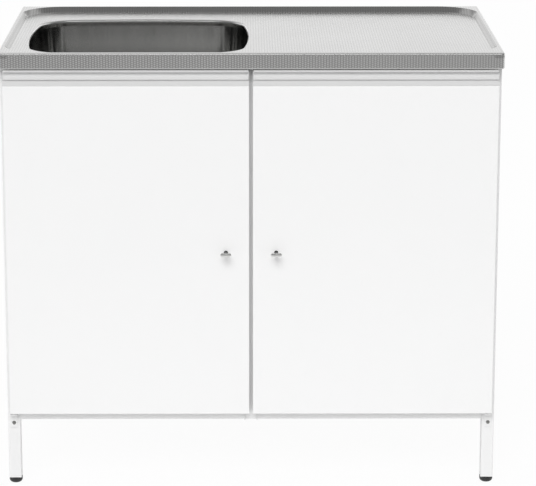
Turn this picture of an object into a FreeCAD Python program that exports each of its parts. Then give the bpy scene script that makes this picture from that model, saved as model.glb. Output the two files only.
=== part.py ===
import FreeCAD, Part
import math
import os

# Kitchen sink unit: pressed steel worktop with one bowl, on a square-tube cabinet with two doors.
# Millimetres. X to the right, -Y to the front, Z up from the floor. The origin is on the floor,
# at the middle of the whole unit with its lock knobs.

# ---- worktop
width = 1000.0
depth = 600.0
height = 900.0
sheet = 1.0                # stainless sheet of worktop and bowl
lip_height = 31.0
lip_radius = 3.0           # bend along the top of the lip, and the rear upright corners
lip_corner = 6.0           # front upright corners
lip_return = 12.0          # fold under the front lip
rim_side = 6.5             # flat rim outside the sunk pan
rim_front = 15.0
rim_back = 4.0
pan_depth = 10.0
pan_slope = 10.0           # plan width of the pan's sloping edge
pan_slope_back = 13.0
pan_corner = 88.0          # plan radius at the rim

# ---- bowl
bowl_width = 450.0
bowl_length = 414.0
bowl_from_left = 45.0
bowl_from_front = 64.0
bowl_side_bow = 1050.0     # radius of the bowed left and right sides
bowl_front_bow = 1400.0    # radius of the bowed front and back
bowl_corner = 70.0
bowl_roll = 4.0            # rolled edge between pan and bowl
bowl_collar = 12.0         # depth of the turned-down collar below the pan
bowl_deep = 180.0          # pan to bowl floor
bowl_draft = 14.0          # how far the walls lean in, top to floor
bowl_floor_radius = 38.0
pad_thickness = 3.0
pad_margin = 70.0          # from the bowl's outline to the pad's edge
pad_corner = 25.0

# ---- tube frame
tube = 25.0
tube_wall = 1.5
tube_corner = 2.0
rail_depth = 20.0          # rails are 25 high and 20 deep
under_cabinet = 138.0      # floor to the bottom rails
side_clear = 2.0           # worktop lip to frame, left and right
fit_gap = 0.3              # panel edge to tube
panel_sheet = 1.0
panel_fold = 15.0
panel_recess = 1.5         # panel face behind the tube faces
floor_pan_rim = 12.0

# ---- doors
door_setback = 4.0         # door face behind the lip's front
door_thickness = 18.0
door_back_gap = 2.5        # door back to the tubes
door_reveal = 6.0          # tube seen outside each door
door_meeting_gap = 7.0
door_top_gap = 4.5         # lip to door
door_lap = 7.5             # door bottom below the top of the bottom rail
skin = 1.0
skin_radius = 1.5
door_back_radius = 2.5
liner_fold = 7.0
slot_width = 4.0
slot_below_top = 29.0
slot_top_height = 14.0
slot_above_bottom = 40.0
slot_bottom_height = 9.0
bumper_radius = 3.5
bumper_from_end = 60.0

# ---- grip strip along the top of each door
grip_cove = 20.0
grip_band = 10.0
grip_step = 2.0            # the cove and the lip stop this much short of the band's ends
grip_wall = 1.5
grip_depth = 17.0
cove_depth = 7.0
grip_top_lip = 2.4
grip_ledge = 2.4           # thickness of the ledge that closes the gap under the worktop
grip_ledge_rise = 2.2      # ledge above the door's top
grip_groove = 2.4
groove_depth = 3.0
grip_edge = 0.6            # broken edges of the strip

# ---- hinges
hinge_inset = 5.5          # pin axis from the door's outer edge
hinge_from_face = 11.5     # pin axis behind the door's face
pin_radius = 2.5
running_gap = 0.05
bush_radius = 3.6
bush_collar = 4.8
bush_foot = 3.0            # collar of the lower bush, which carries the door
bush_lip = 1.0             # collar of the upper bush
bush_length = 10.0
bush_seat = 0.05
pin_length = 9.0
face_gap = 0.25
bracket_plate = 2.5
bracket_width = 14.0
bracket_corner = 2.0
bracket_drop = 27.5        # lower bracket's upright plate
bracket_nose = 5.0         # bracket ahead of the pin axis
screw_head = 4.0
screw_shank = 2.0
screw_head_height = 2.2
screw_length = 8.0
lower_screw_up = 9.5       # above the lower bracket's bottom edge
upper_screw_down = 9.0     # below the frame's top

# ---- locks
lock_from_edge = 47.0      # from the door's meeting edge
barrel_radius = 3.8
barrel_collar = 4.2
barrel_collar_thickness = 0.8
barrel_tail = 8.0          # barrel behind the door
stem_radius = 2.8
knob_reach = 23.0          # wing's front ahead of the door face
wing_span = 22.0
wing_height = 9.0
wing_waist = 5.6
wing_edge = 1.2
wing_thickness = 5.0
lock_nut_flats = 14.0
lock_nut_height = 4.0
tongue_width = 16.0
tongue_length = 34.0
tongue_plate = 2.0
tongue_gap = 0.8
rivet_radius = 5.5
rivet_height = 1.5
strike_plate = 2.0
strike_wing = 14.0
strike_height = 60.0
strike_corner = 4.0

# ---- feet and tube ends
foot_height = 12.2
foot_radius = 13.5
foot_flat = 7.5
foot_wall = 4.0            # upright part of the foot's side
stud_radius = 4.0
stud_length = 32.0
insert_flange = 1.5
insert_length = 36.0
lug_radius = 2.9
lug_proud = 1.2
lug_up = 9.0               # above the tube's end
stop_gap = 0.3

# ---- worktop fixings
clip_width = 30.0
clip_plate = 2.0
clip_spacing = 300.0
stiffener_width = 60.0
stiffener_height = 18.0
stiffener_spacing = 200.0     # between the two channels, astride the drainer's middle

# ---- waste and trap
waste_back = 50.0          # behind the bowl's centre
seat_radius = 58.0
seat_depth = 2.5
waste_rim = 56.0
waste_rim_thickness = 1.2
cup_radius = 43.0
cup_wall = 1.0
cup_depth = 50.0
cup_chamfer = 4.0
bowl_hole_gap = 0.5
gasket_thickness = 3.0
ring_width = 14.0
ring_height = 10.0
ring_lugs = 6
ring_lug = 3.0
spigot_radius = 24.0
spigot_bore = 17.0
spigot_length = 18.0
pipe_radius = 20.0
pipe_wall = 2.0
pipe_collar = 3.0
tail_length = 160.0
nut_wall = 5.0
nut_height = 16.0
nut_web = 3.0
nut_ribs = 8
nut_rib = 1.8
slip_gap = 0.3
trap_radius = 32.0
trap_wall = 2.5
trap_chamfer = 3.0
trap_height = 85.0
trap_neck = 20.0
trap_drop = 58.0           # spigot to the trap's neck
trap_cup_depth = 52.0
trap_cup_lap = 14.0
trap_cup_edge = 6.0
trap_cup_ribs = 12
trap_cup_rib = 1.6
branch_down = 30.0         # branch axis below the trap's shoulder
branch_length = 22.0
outlet_short_of_wall = 12.0
outlet_push_in = 40.0      # plain end that goes into the drain's socket
outlet_bead = 2.0
pipe_cutout_width = 220.0
pipe_cutout_height = 200.0
pipe_cutout_corner = 12.0

# ---- strainer basket
basket_radius = 40.0
basket_wall = 0.8
basket_rim = 6.0
basket_floor_radius = 31.0
basket_depth = 36.0
basket_holes = 10
basket_hole_radius = 3.0
basket_hole_circle = 21.0
basket_knob_radius = 8.0
basket_knob_edge = 1.0
basket_knob_down = 6.0     # knob's top below the basket's rim
basket_post = 3.5
plug_radius = 20.0
plug_height = 6.0

# ---- places worked out from the sizes above
knob_proud = knob_reach - door_setback
y_front = (knob_proud - depth) / 2
y_back = y_front + depth
door_y0 = y_front + door_setback
door_y1 = door_y0 + door_thickness
frame_y0 = door_y1 + door_back_gap
frame_y1 = y_back - sheet
frame_x = width / 2 - sheet - side_clear
pan_z = height - pan_depth
frame_z1 = pan_z - sheet
rail_top_z = frame_z1 - tube
lip_z = height - lip_height
shelf_z = under_cabinet + tube
door_x1 = frame_x - door_reveal
door_x0 = door_meeting_gap / 2
door_z0 = shelf_z - door_lap
door_z1 = lip_z - door_top_gap
tray_z1 = door_z1 - grip_cove - grip_band
hinge_x = door_x1 - hinge_inset
hinge_y = door_y0 + hinge_from_face
lock_x = door_x0 + lock_from_edge
lock_z = (door_z0 + tray_z1) / 2
bowl_x = bowl_from_left + bowl_width / 2 - width / 2
bowl_y = y_front + bowl_from_front + bowl_length / 2
collar_z = pan_z - bowl_collar
bowl_z = pan_z - bowl_deep
waste_y = bowl_y + waste_back
seat_z = bowl_z - seat_depth
leg_z0 = foot_height + stop_gap + insert_flange
leg_x = frame_x - tube / 2
lower_flange_z = door_z0 - face_gap - bush_foot
lower_screw_z = lower_flange_z - bracket_plate - bracket_drop + lower_screw_up
upper_screw_z = frame_z1 - upper_screw_down
clip_screw_z = (rail_top_z + frame_z1) / 2 + clip_plate
tongue_y = frame_y0 + tube + strike_plate + tongue_gap
gasket_z = seat_z - sheet - gasket_thickness
spigot_z = seat_z - cup_depth - spigot_length
trap_z1 = spigot_z - trap_drop
shoulder_z = trap_z1 - trap_neck
branch_z = shoulder_z - branch_down
branch_y = waste_y + trap_radius + branch_length
basket_z = seat_z + waste_rim_thickness

V = FreeCAD.Vector
UP = V(0, 0, 1)
BACK = V(0, 1, 0)
RIGHT = V(1, 0, 0)


def block(x0, x1, y0, y1, z0, z1):
    return Part.makeBox(x1 - x0, y1 - y0, z1 - z0, V(x0, y0, z0))


def rod(radius, length, foot, way=UP):
    return Part.makeCylinder(radius, length, foot, way)


def edges_along(shape, way):
    found = []
    for edge in shape.Edges:
        if edge.Curve.TypeId != "Part::GeomLine":
            continue
        run = edge.Vertexes[-1].Point - edge.Vertexes[0].Point
        if abs(abs(run.normalize() * way) - 1) < 1e-6:
            found.append(edge)
    return found


def edges_at(shape, z):
    found = []
    for edge in shape.Edges:
        box = edge.BoundBox
        if box.ZMax - box.ZMin < 1e-4 and abs(box.ZMin - z) < 1e-4:
            found.append(edge)
    return found


def mirrored(shape):
    return shape.mirror(V(0, 0, 0), RIGHT)


def turned(outline, foot, way=UP):
    """Solid of revolution: closed outline of (radius, height) points, turned about way at foot."""
    points = [V(r, 0, z) for r, z in outline]
    face = Part.Face(Part.makePolygon(points + points[:1]))
    solid = face.revolve(V(0, 0, 0), UP, 360)
    solid.Placement = FreeCAD.Placement(foot, FreeCAD.Rotation(UP, way))
    return solid


def profile_wire(segments):
    """Closed wire through points in a row; a pair is an arc through its first point to its second."""
    edges = []
    start = segments[0]
    here = start
    for item in list(segments[1:]) + [start]:
        if isinstance(item, tuple):
            edges.append(Part.Arc(here, item[0], item[1]).toShape())
            here = item[1]
        elif here.distanceToPoint(item) > 1e-6:
            edges.append(Part.LineSegment(here, item).toShape())
            here = item
    return Part.Wire(edges)


def rounded_wire(x0, x1, y0, y1, radius, z):
    k = radius * (1 - math.sqrt(0.5))
    return profile_wire([
        V(x0 + radius, y0, z), V(x1 - radius, y0, z),
        (V(x1 - k, y0 + k, z), V(x1, y0 + radius, z)), V(x1, y1 - radius, z),
        (V(x1 - k, y1 - k, z), V(x1 - radius, y1, z)), V(x0 + radius, y1, z),
        (V(x0 + k, y1 - k, z), V(x0, y1 - radius, z)), V(x0, y0 + radius, z),
        (V(x0 + k, y0 + k, z), V(x0 + radius, y0, z)),
    ])


def bowl_wire(grow, z):
    """Outline of the bowl, offset outwards by grow: four bowed sides joined by tangent corner arcs."""
    half_w = bowl_width / 2
    half_l = bowl_length / 2
    side_c = half_w - bowl_side_bow
    front_c = half_l - bowl_front_bow
    # The corner's centre lies one corner radius inside both big arcs; a few steps settle on it.
    reach_s = bowl_side_bow - bowl_corner
    reach_f = bowl_front_bow - bowl_corner
    a, b = half_w - bowl_corner, half_l - bowl_corner
    for _ in range(40):
        a = side_c + math.sqrt(reach_s ** 2 - b ** 2)
        b = front_c + math.sqrt(reach_f ** 2 - a ** 2)
    side_way = V(a - side_c, b, 0).normalize()
    front_way = V(a, b - front_c, 0).normalize()
    corner_way = (side_way + front_way).normalize()
    on_side = V(side_c, 0, 0) + side_way * (bowl_side_bow + grow)
    on_front = V(0, front_c, 0) + front_way * (bowl_front_bow + grow)
    on_corner = V(a, b, 0) + corner_way * (bowl_corner + grow)
    mid_side = V(half_w + grow, 0, 0)
    mid_front = V(0, half_l + grow, 0)

    def at(p, sx, sy):
        return V(bowl_x + sx * p.x, bowl_y + sy * p.y, z)

    return profile_wire([
        at(on_side, 1, -1), (at(mid_side, 1, 1), at(on_side, 1, 1)),
        (at(on_corner, 1, 1), at(on_front, 1, 1)), (at(mid_front, 1, 1), at(on_front, -1, 1)),
        (at(on_corner, -1, 1), at(on_side, -1, 1)), (at(mid_side, -1, 1), at(on_side, -1, -1)),
        (at(on_corner, -1, -1), at(on_front, -1, -1)), (at(mid_front, 1, -1), at(on_front, 1, -1)),
        (at(on_corner, 1, -1), at(on_side, 1, -1)),
    ])


def bowl_prism(grow, z0, z1):
    return Part.Face(bowl_wire(grow, z0)).extrude(V(0, 0, z1 - z0))


def pan_form(drop, grow):
    """The sunk pan as a solid, its top at the rim: lowered by drop and its edges moved out by grow."""
    x_rim = width / 2 - rim_side + grow
    y0 = y_front + rim_front - grow
    y1 = y_back - rim_back + grow
    r = pan_corner + grow
    top = rounded_wire(-x_rim, x_rim, y0, y1, r, height - drop)
    x_pan = x_rim - pan_slope
    low = rounded_wire(-x_pan, x_pan, y0 + pan_slope, y1 - pan_slope_back, r - pan_slope, pan_z - drop)
    return Part.makeLoft([top, low], True, True)


def worktop_form(inset):
    """The worktop as a full block, inset by the sheet for its hollow underside."""
    solid = block(
        -width / 2 + inset, width / 2 - inset, y_front + inset, y_back - inset, lip_z, height - inset)
    middle = (y_front + y_back) / 2
    front = [e for e in edges_along(solid, UP) if e.BoundBox.YMax < middle]
    solid = solid.makeFillet(lip_corner - inset, front)
    rear = [e for e in edges_along(solid, UP) if e.BoundBox.YMin > middle]
    solid = solid.makeFillet(lip_radius - inset, rear)
    solid = solid.makeFillet(lip_radius - inset, edges_at(solid, height - inset))
    bend = math.tan(math.atan2(pan_depth, pan_slope) / 2)
    solid = solid.cut(pan_form(inset, inset * bend))
    solid = solid.cut(bowl_prism(inset, lip_z, height))
    near = bowl_prism(2 * sheet, pan_z - 2 * sheet, pan_z + sheet).BoundBox
    around = [e for e in edges_at(solid, pan_z - inset) if near.isInside(e.BoundBox)]
    return solid.makeFillet(bowl_roll - inset, around)


def make_worktop():
    shell = worktop_form(0).cut(worktop_form(sheet))
    shell = shell.cut(bowl_prism(sheet + fit_gap, lip_z, collar_z))
    x = width / 2 - lip_corner
    fold = block(-x, x, y_front + sheet / 2, y_front + lip_return, lip_z, lip_z + sheet)
    return shell.fuse(fold).removeSplitter()


def bowl_form(grow):
    top = bowl_wire(grow, collar_z)
    low = bowl_wire(grow - bowl_draft, bowl_z - grow)
    solid = Part.makeLoft([top, low], True, True)
    return solid.makeFillet(bowl_floor_radius + grow, edges_at(solid, bowl_z - grow))


def make_bowl():
    centre = V(bowl_x, waste_y, seat_z - sheet)
    shell = bowl_form(sheet).fuse(rod(seat_radius + sheet, seat_depth + sheet, centre))
    shell = shell.cut(bowl_form(0))
    shell = shell.cut(rod(seat_radius, seat_depth + sheet, V(bowl_x, waste_y, seat_z)))
    return shell.cut(rod(cup_radius + bowl_hole_gap, 3 * sheet, centre - UP * sheet)).removeSplitter()


def make_bowl_pad():
    low = bowl_z - sheet - pad_thickness
    x, y = bowl_width / 2 - pad_margin, bowl_length / 2 - pad_margin
    wire = rounded_wire(bowl_x - x, bowl_x + x, bowl_y - y, bowl_y + y, pad_corner, low)
    pad = Part.Face(wire).extrude(V(0, 0, pad_thickness))
    return pad.cut(rod(seat_radius + sheet + fit_gap, pad_thickness, V(bowl_x, waste_y, low)))


def make_stiffeners():
    """Hat channels glued under the drainer, front to back between the rails."""
    y0 = frame_y0 + rail_depth + 2 * fit_gap
    y1 = frame_y1 - rail_depth - 2 * fit_gap
    half = stiffener_width / 2
    crown = half / 2
    t = panel_sheet
    middle = (bowl_x + bowl_width / 2 + frame_x) / 2
    solids = []
    for x in (middle - stiffener_spacing / 2, middle + stiffener_spacing / 2):
        z1 = frame_z1
        z0 = z1 - stiffener_height
        wire = profile_wire([
            V(x - half, y0, z1), V(x - half, y0, z1 - t), V(x - crown, y0, z1 - t),
            V(x - crown + 2 * t, y0, z0), V(x + crown - 2 * t, y0, z0),
            V(x + crown, y0, z1 - t), V(x + half, y0, z1 - t), V(x + half, y0, z1),
            V(x + crown - t, y0, z1), V(x + crown - 3 * t, y0, z0 + t),
            V(x - crown + 3 * t, y0, z0 + t), V(x - crown + t, y0, z1),
        ])
        solids.append(Part.Face(wire).extrude(V(0, y1 - y0, 0)))
    return Part.makeCompound(solids)


# ---- frame

def square_tube(x0, x1, y0, y1, z0, z1, way):
    """A square tube along way, open at both ends, with rounded outer edges."""
    solid = block(x0, x1, y0, y1, z0, z1)
    solid = solid.makeFillet(tube_corner, edges_along(solid, way))
    w = tube_wall
    ix, iy, iz = (0 if abs(way.x) > 0 else w), (0 if abs(way.y) > 0 else w), (0 if abs(way.z) > 0 else w)
    return solid.cut(block(x0 + ix, x1 - ix, y0 + iy, y1 - iy, z0 + iz, z1 - iz))


def screw_hole(foot, way):
    return rod(screw_shank + running_gap, 3 * tube_wall, foot - way * tube_wall, way)


def make_leg(front):
    """Left-hand leg; the right one is its mirror image."""
    y0 = frame_y0 if front else frame_y1 - tube
    solid = square_tube(-frame_x, -frame_x + tube, y0, y0 + tube, leg_z0, frame_z1, UP)
    lug = V(-frame_x + tube - 2 * tube_wall, y0 + tube / 2, leg_z0 + lug_up)
    solid = solid.cut(rod(lug_radius + running_gap, 3 * tube_wall, lug, RIGHT))
    if front:
        for z in (lower_screw_z, upper_screw_z):
            solid = solid.cut(screw_hole(V(-leg_x, frame_y0, z), BACK))
    return solid


def make_post():
    post = square_tube(-tube / 2, tube / 2, frame_y0, frame_y0 + tube, under_cabinet, rail_top_z, UP)
    return post


def make_rails():
    inner = frame_x - tube
    y_in0 = frame_y0 + tube
    y_in1 = frame_y1 - tube
    t0, t1 = rail_top_z, frame_z1
    b0, b1 = under_cabinet, shelf_z
    front = square_tube(-inner, inner, frame_y0, frame_y0 + rail_depth, t0, t1, RIGHT)
    for i in (-1, 0, 1):
        front = front.cut(screw_hole(V(i * clip_spacing, frame_y0, clip_screw_z), BACK))
    rails = {"top_rail_front": front}
    y_rear = frame_y1 - rail_depth
    rails["top_rail_rear"] = square_tube(-inner, inner, y_rear, frame_y1, t0, t1, RIGHT)
    rails["bottom_rail_rear"] = square_tube(-inner, inner, y_rear, frame_y1, b0, b1, RIGHT)
    left = square_tube(-inner, -tube / 2, frame_y0, frame_y0 + rail_depth, b0, b1, RIGHT)
    rails["bottom_rail_front_left"] = left
    rails["bottom_rail_front_right"] = mirrored(left)
    for name, z0, z1 in (("top", t0, t1), ("bottom", b0, b1)):
        side = square_tube(-frame_x, -frame_x + rail_depth, y_in0, y_in1, z0, z1, BACK)
        rails[name + "_rail_left"] = side
        rails[name + "_rail_right"] = mirrored(side)
    return rails


def folded_panel(x0, x1, y0, y1, z0, z1, way):
    """Sheet with its four edges folded inwards; the open side faces along way."""
    solid = block(x0, x1, y0, y1, z0, z1)
    t = panel_sheet
    cut = [x0 + t, x1 - t, y0 + t, y1 - t, z0 + t, z1 - t]
    if way.x:
        cut[1 if way.x > 0 else 0] += (t if way.x > 0 else -t) * 2
    if way.y:
        cut[3 if way.y > 0 else 2] += (t if way.y > 0 else -t) * 2
    return solid.cut(block(*cut))


def make_panels():
    x0 = -frame_x + panel_recess
    y_in0, y_in1 = frame_y0 + tube + fit_gap, frame_y1 - tube - fit_gap
    z0, z1 = shelf_z, rail_top_z - fit_gap
    left = folded_panel(x0, x0 + panel_fold, y_in0, y_in1, z0, z1, RIGHT)
    inner = frame_x - tube - fit_gap
    y1 = frame_y1 - panel_recess
    back = folded_panel(-inner, inner, y1 - panel_fold, y1, z0, z1, V(0, -1, 0))
    w, h = pipe_cutout_width / 2, pipe_cutout_height / 2
    outline = rounded_wire(bowl_x - w, bowl_x + w, -h, h, pipe_cutout_corner, 0)
    hole = Part.Face(outline).extrude(V(0, 0, 3 * panel_sheet))
    hole.Placement = FreeCAD.Placement(V(0, y1 + panel_sheet, branch_z), FreeCAD.Rotation(RIGHT, 90))
    return {"side_panel_left": left, "side_panel_right": mirrored(left), "back_panel": back.cut(hole)}


def make_floor_pan():
    """Drip tray on the bottom rails, notched round legs and post, its sides and back turned up."""
    x = frame_x - panel_recess - panel_fold - fit_gap
    y0 = frame_y0 + fit_gap
    y1 = frame_y1 - panel_recess - panel_fold - fit_gap
    z = shelf_z
    t = panel_sheet
    plate = block(-x, x, y0, y1, z, z + t)
    rim = block(-x, x, y0 + tube, y1, z, z + floor_pan_rim)
    rim = rim.cut(block(-x + t, x - t, y0, y1 - t, z, z + floor_pan_rim))
    plate = plate.fuse(rim)
    notch = frame_x - tube - fit_gap
    for sx in (-1, 1):
        a, b = sorted((sx * notch, sx * (frame_x + 1)))
        plate = plate.cut(block(a, b, frame_y0 - 1, frame_y0 + tube + fit_gap, z, z + floor_pan_rim))
        plate = plate.cut(block(a, b, frame_y1 - tube - fit_gap, frame_y1 + 1, z, z + floor_pan_rim))
    p = tube / 2 + fit_gap
    return plate.cut(block(-p, p, frame_y0 - 1, frame_y0 + tube + fit_gap, z, z + t)).removeSplitter()


def make_inserts():
    solids = []
    half_in = tube / 2 - tube_wall - running_gap
    for sx in (-1, 1):
        for y in (frame_y0 + tube / 2, frame_y1 - tube / 2):
            x = sx * leg_x
            half = tube / 2
            flange = block(x - half, x + half, y - half, y + half, leg_z0 - insert_flange, leg_z0)
            flange = flange.makeFillet(tube_corner, edges_along(flange, UP))
            top = leg_z0 + insert_length
            body = block(x - half_in, x + half_in, y - half_in, y + half_in, leg_z0, top)
            lug = rod(lug_radius, tube / 2 + lug_proud, V(x, y, leg_z0 + lug_up), V(-sx, 0, 0))
            solid = flange.fuse(body).fuse(lug)
            bore = rod(stud_radius + running_gap, top, V(x, y, 0))
            solids.append(solid.cut(bore))
    return Part.makeCompound(solids)


# ---- hinges

def make_bracket(upper):
    """Left-hand L bracket with its riveted pin."""
    x0 = -leg_x - bracket_width / 2
    x1 = x0 + bracket_width
    y0 = hinge_y - bracket_nose
    y_plate = frame_y0 - bracket_plate
    if upper:
        z0 = door_z1 + face_gap + bush_lip
        z1 = z0 + bracket_plate
        plate = block(x0, x1, y_plate, frame_y0, z0, frame_z1)
        pin = rod(pin_radius, pin_length + bracket_plate, V(-hinge_x, hinge_y, z0 - pin_length))
        screw_z = upper_screw_z
    else:
        z1 = lower_flange_z
        z0 = z1 - bracket_plate
        plate = block(x0, x1, y_plate, frame_y0, z0 - bracket_drop, z1)
        pin = rod(pin_radius, bush_foot + pin_length + bracket_plate, V(-hinge_x, hinge_y, z0))
        screw_z = lower_screw_z
    flange = block(x0, x1, y0, y_plate, z0, z1)
    nose = [e for e in edges_along(flange, UP) if e.BoundBox.YMax < y0 + skin]
    flange = flange.makeFillet(bracket_corner, nose)
    solid = flange.fuse(plate).removeSplitter().fuse(pin)
    hole = rod(screw_shank + running_gap, bracket_plate, V(-leg_x, y_plate, screw_z), BACK)
    return solid.cut(hole).removeSplitter()


def pair(left):
    return Part.makeCompound([left, mirrored(left)])


def pan_screw(foot, way):
    """Domed screw: foot is under the head, way points into the tube."""
    r, h = screw_head, screw_head_height
    outline = [(0, -h), (r * 0.6, -h), (r * 0.92, -h * 0.5), (r, 0), (screw_shank, 0),
               (screw_shank, screw_length), (0, screw_length)]
    return turned(outline, foot, way)


def make_screws():
    solids = []
    for z in (lower_screw_z, upper_screw_z):
        for sx in (-1, 1):
            solids.append(pan_screw(V(sx * leg_x, frame_y0 - bracket_plate, z), BACK))
    for i in (-1, 0, 1):
        solids.append(pan_screw(V(i * clip_spacing, frame_y0 - clip_plate, clip_screw_z), BACK))
    return Part.makeCompound(solids)


def make_clips():
    """Z clips on the front rail that hold the lip's fold down."""
    z0 = lip_z + sheet
    z1 = z0 + clip_plate
    solids = []
    for i in (-1, 0, 1):
        x0 = i * clip_spacing - clip_width / 2
        x1 = x0 + clip_width
        y_plate = frame_y0 - clip_plate
        upright = block(x0, x1, y_plate, frame_y0, z0, frame_z1 - clip_plate)
        foot = block(x0, x1, y_front + lip_return / 2, y_plate, z0, z1)
        solid = upright.fuse(foot).removeSplitter()
        hole = V(i * clip_spacing, y_plate - 1, clip_screw_z)
        solids.append(solid.cut(rod(screw_shank + running_gap, clip_plate + 2, hole, BACK)))
    return Part.makeCompound(solids)


def make_strike():
    half = tube / 2 + strike_wing
    y0 = frame_y0 + tube
    z0 = lock_z - strike_height / 2
    plate = block(-half, half, y0, y0 + strike_plate, z0, z0 + strike_height)
    return plate.makeFillet(strike_corner, edges_along(plate, BACK))


# ---- doors, left hand

def slot_prism(x0, x1, y, z, high):
    half, r = (high - slot_width) / 2, slot_width / 2
    prism = block(x0, x1, y - r, y + r, z - half, z + half)
    return prism.fuse([rod(r, x1 - x0, V(x0, y, end), RIGHT) for end in (z - half, z + half)])


def make_skin():
    x0, x1 = -door_x1, -door_x0
    solid = block(x0, x1, door_y0, door_y1, door_z0, tray_z1)
    back = [e for e in edges_along(solid, UP) if e.BoundBox.YMin > door_y1 - 1e-3]
    solid = solid.makeFillet(door_back_radius, back)
    front = [e for e in solid.Edges if e.BoundBox.YMax < door_y0 + 1e-3]
    solid = solid.makeFillet(skin_radius, front)
    z0, z1 = door_z0 + skin, tray_z1 - skin
    solid = solid.cut(block(x0 + skin, x1 - skin, door_y0 + skin, door_y1 + skin, z0, z1))
    y_slot = door_y0 + (door_thickness - liner_fold) / 2
    top_slot = slot_prism(x0, x1, y_slot, tray_z1 - slot_below_top, slot_top_height)
    bottom_slot = slot_prism(x0, x1, y_slot, door_z0 + slot_above_bottom, slot_bottom_height)
    bush_hole = rod(bush_radius + bush_seat, 2 * skin, V(-hinge_x, hinge_y, door_z0 - skin / 2))
    lock_hole = rod(barrel_radius + bush_seat, 2 * skin, V(-lock_x, door_y0 - skin / 2, lock_z), BACK)
    return solid.cut([top_slot, bottom_slot, bush_hole, lock_hole])


def make_liner():
    """Back of the door: a shallow tray pressed into the skin, its edges folded forwards."""
    x0, x1 = -door_x1 + skin, -door_x0 - skin
    z0, z1 = door_z0 + skin, tray_z1 - skin
    y0 = door_y1 - liner_fold
    solid = block(x0, x1, y0, door_y1, z0, z1)
    solid = solid.cut(block(x0 + skin, x1 - skin, y0 - 1, door_y1 - skin, z0 + skin, z1 - skin))
    bush_hole = rod(bush_collar + fit_gap, bush_length, V(-hinge_x, hinge_y, door_z0))
    lock_hole = rod(barrel_radius + bush_seat, 3 * skin, V(-lock_x, door_y1 - 2 * skin, lock_z), BACK)
    return solid.cut([bush_hole, lock_hole])


def grip_section(x):
    """The strip's outline at x, from the bottom up: band, groove, and the cove for the fingers, an arc
    that is deepest under the top lip. The lip's front stands up as a thin ledge."""
    y, z = door_y0, tray_z1
    edge = grip_edge
    inner = groove_depth
    groove_z = z + grip_band
    cove_z0 = groove_z + grip_groove
    cove_z1 = door_z1 - grip_top_lip
    top = door_z1 + grip_ledge_rise
    rise = cove_z1 - cove_z0 - edge
    run = cove_depth - edge / 2
    bow = (rise ** 2 + run ** 2) / (2 * run)
    half = math.asin(rise / bow) / 2

    def p(dy, at_z):
        return V(x, y + dy, at_z)

    return profile_wire([
        p(edge, z), p(0, z + edge), p(0, groove_z - edge), p(edge, groove_z),
        p(inner, groove_z), p(inner, cove_z0), p(edge, cove_z0), p(edge / 2, cove_z0 + edge),
        (p(cove_depth - bow + bow * math.cos(half), cove_z1 - bow * math.sin(half)),
         p(cove_depth, cove_z1)),
        p(edge / 2, cove_z1), p(0, cove_z1 + edge / 2), p(0, top - edge), p(edge, top),
        p(grip_ledge, top), p(grip_ledge, door_z1), p(grip_depth, door_z1), p(grip_depth, z),
    ])


def make_grip():
    x0, x1 = -door_x1, -door_x0
    solid = Part.Face(grip_section(x0)).extrude(V(x1 - x0, 0, 0))
    w = grip_wall
    groove_z = tray_z1 + grip_band
    rear = block(x0, x1, door_y0 + cove_depth + w, door_y0 + grip_depth - w, tray_z1 + w, door_z1 - w)
    low = block(x0, x1, door_y0 + w, door_y0 + cove_depth, tray_z1 + w, groove_z - w)
    solid = solid.cut(rear).cut(low)
    for end, way in ((x0, 1), (x1, -1)):
        a, b = sorted((end, end + way * grip_step))
        step = block(a, b, door_y0, door_y0 + cove_depth, groove_z, door_z1 + grip_ledge_rise)
        corner = block(a, b, door_y0, door_y0 + cove_depth, groove_z - grip_step, groove_z)
        round_corner = V(end + way * grip_step, door_y0, groove_z - grip_step)
        corner = corner.cut(rod(grip_step, cove_depth, round_corner, BACK))
        solid = solid.cut(step).cut(corner)
    foot = V(-hinge_x, hinge_y, door_z1 + bush_lip - bush_length)
    return solid.cut(rod(bush_radius + bush_seat, bush_length, foot))


def make_bushes():
    """Flanged nylon bushes: the lower one carries the door, the upper one steadies it."""
    bore = pin_radius + running_gap
    foot = bush_foot
    lower = [(bore, 0), (bush_collar, 0), (bush_collar, foot), (bush_radius, foot),
             (bush_radius, foot + bush_length), (bore, foot + bush_length)]
    lip = bush_lip
    upper = [(bore, 0), (bush_collar, 0), (bush_collar, lip), (bush_radius, lip),
             (bush_radius, bush_length), (bore, bush_length)]
    low = turned(lower, V(-hinge_x, hinge_y, door_z0 - foot))
    top = turned(upper, V(-hinge_x, hinge_y, door_z1 + lip), V(0, 0, -1))
    return Part.makeCompound([low, top])


def make_bumpers():
    thick = door_back_gap - face_gap
    r = bumper_radius
    x = r - tube / 2
    outline = [(0, 0), (r, 0), (r, 0.6 * thick), (0.7 * r, thick), (0, thick)]
    places = (door_z0 + bumper_from_end, tray_z1 - bumper_from_end)
    return Part.makeCompound([turned(outline, V(x, door_y1, z), BACK) for z in places])


def make_barrel():
    r = barrel_radius
    bore = stem_radius + running_gap
    collar = barrel_collar_thickness
    length = door_thickness + barrel_tail
    outline = [(bore, -collar), (barrel_collar - collar / 2, -collar), (barrel_collar, 0), (r, 0),
               (r, length), (bore, length)]
    return turned(outline, V(-lock_x, door_y0, lock_z), BACK)


def make_lock_nut():
    across = lock_nut_flats / math.sqrt(3)
    turns = [math.radians(60 * i) for i in range(7)]
    hexagon = Part.makePolygon([V(across * math.cos(a), across * math.sin(a), 0) for a in turns])
    solid = Part.Face(hexagon).extrude(V(0, 0, lock_nut_height))
    solid = solid.cut(rod(barrel_radius + bush_seat, lock_nut_height, V(0, 0, 0)))
    solid.Placement = FreeCAD.Placement(V(-lock_x, door_y1, lock_z), FreeCAD.Rotation(UP, BACK))
    return solid


# ---- locks, left hand

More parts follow.
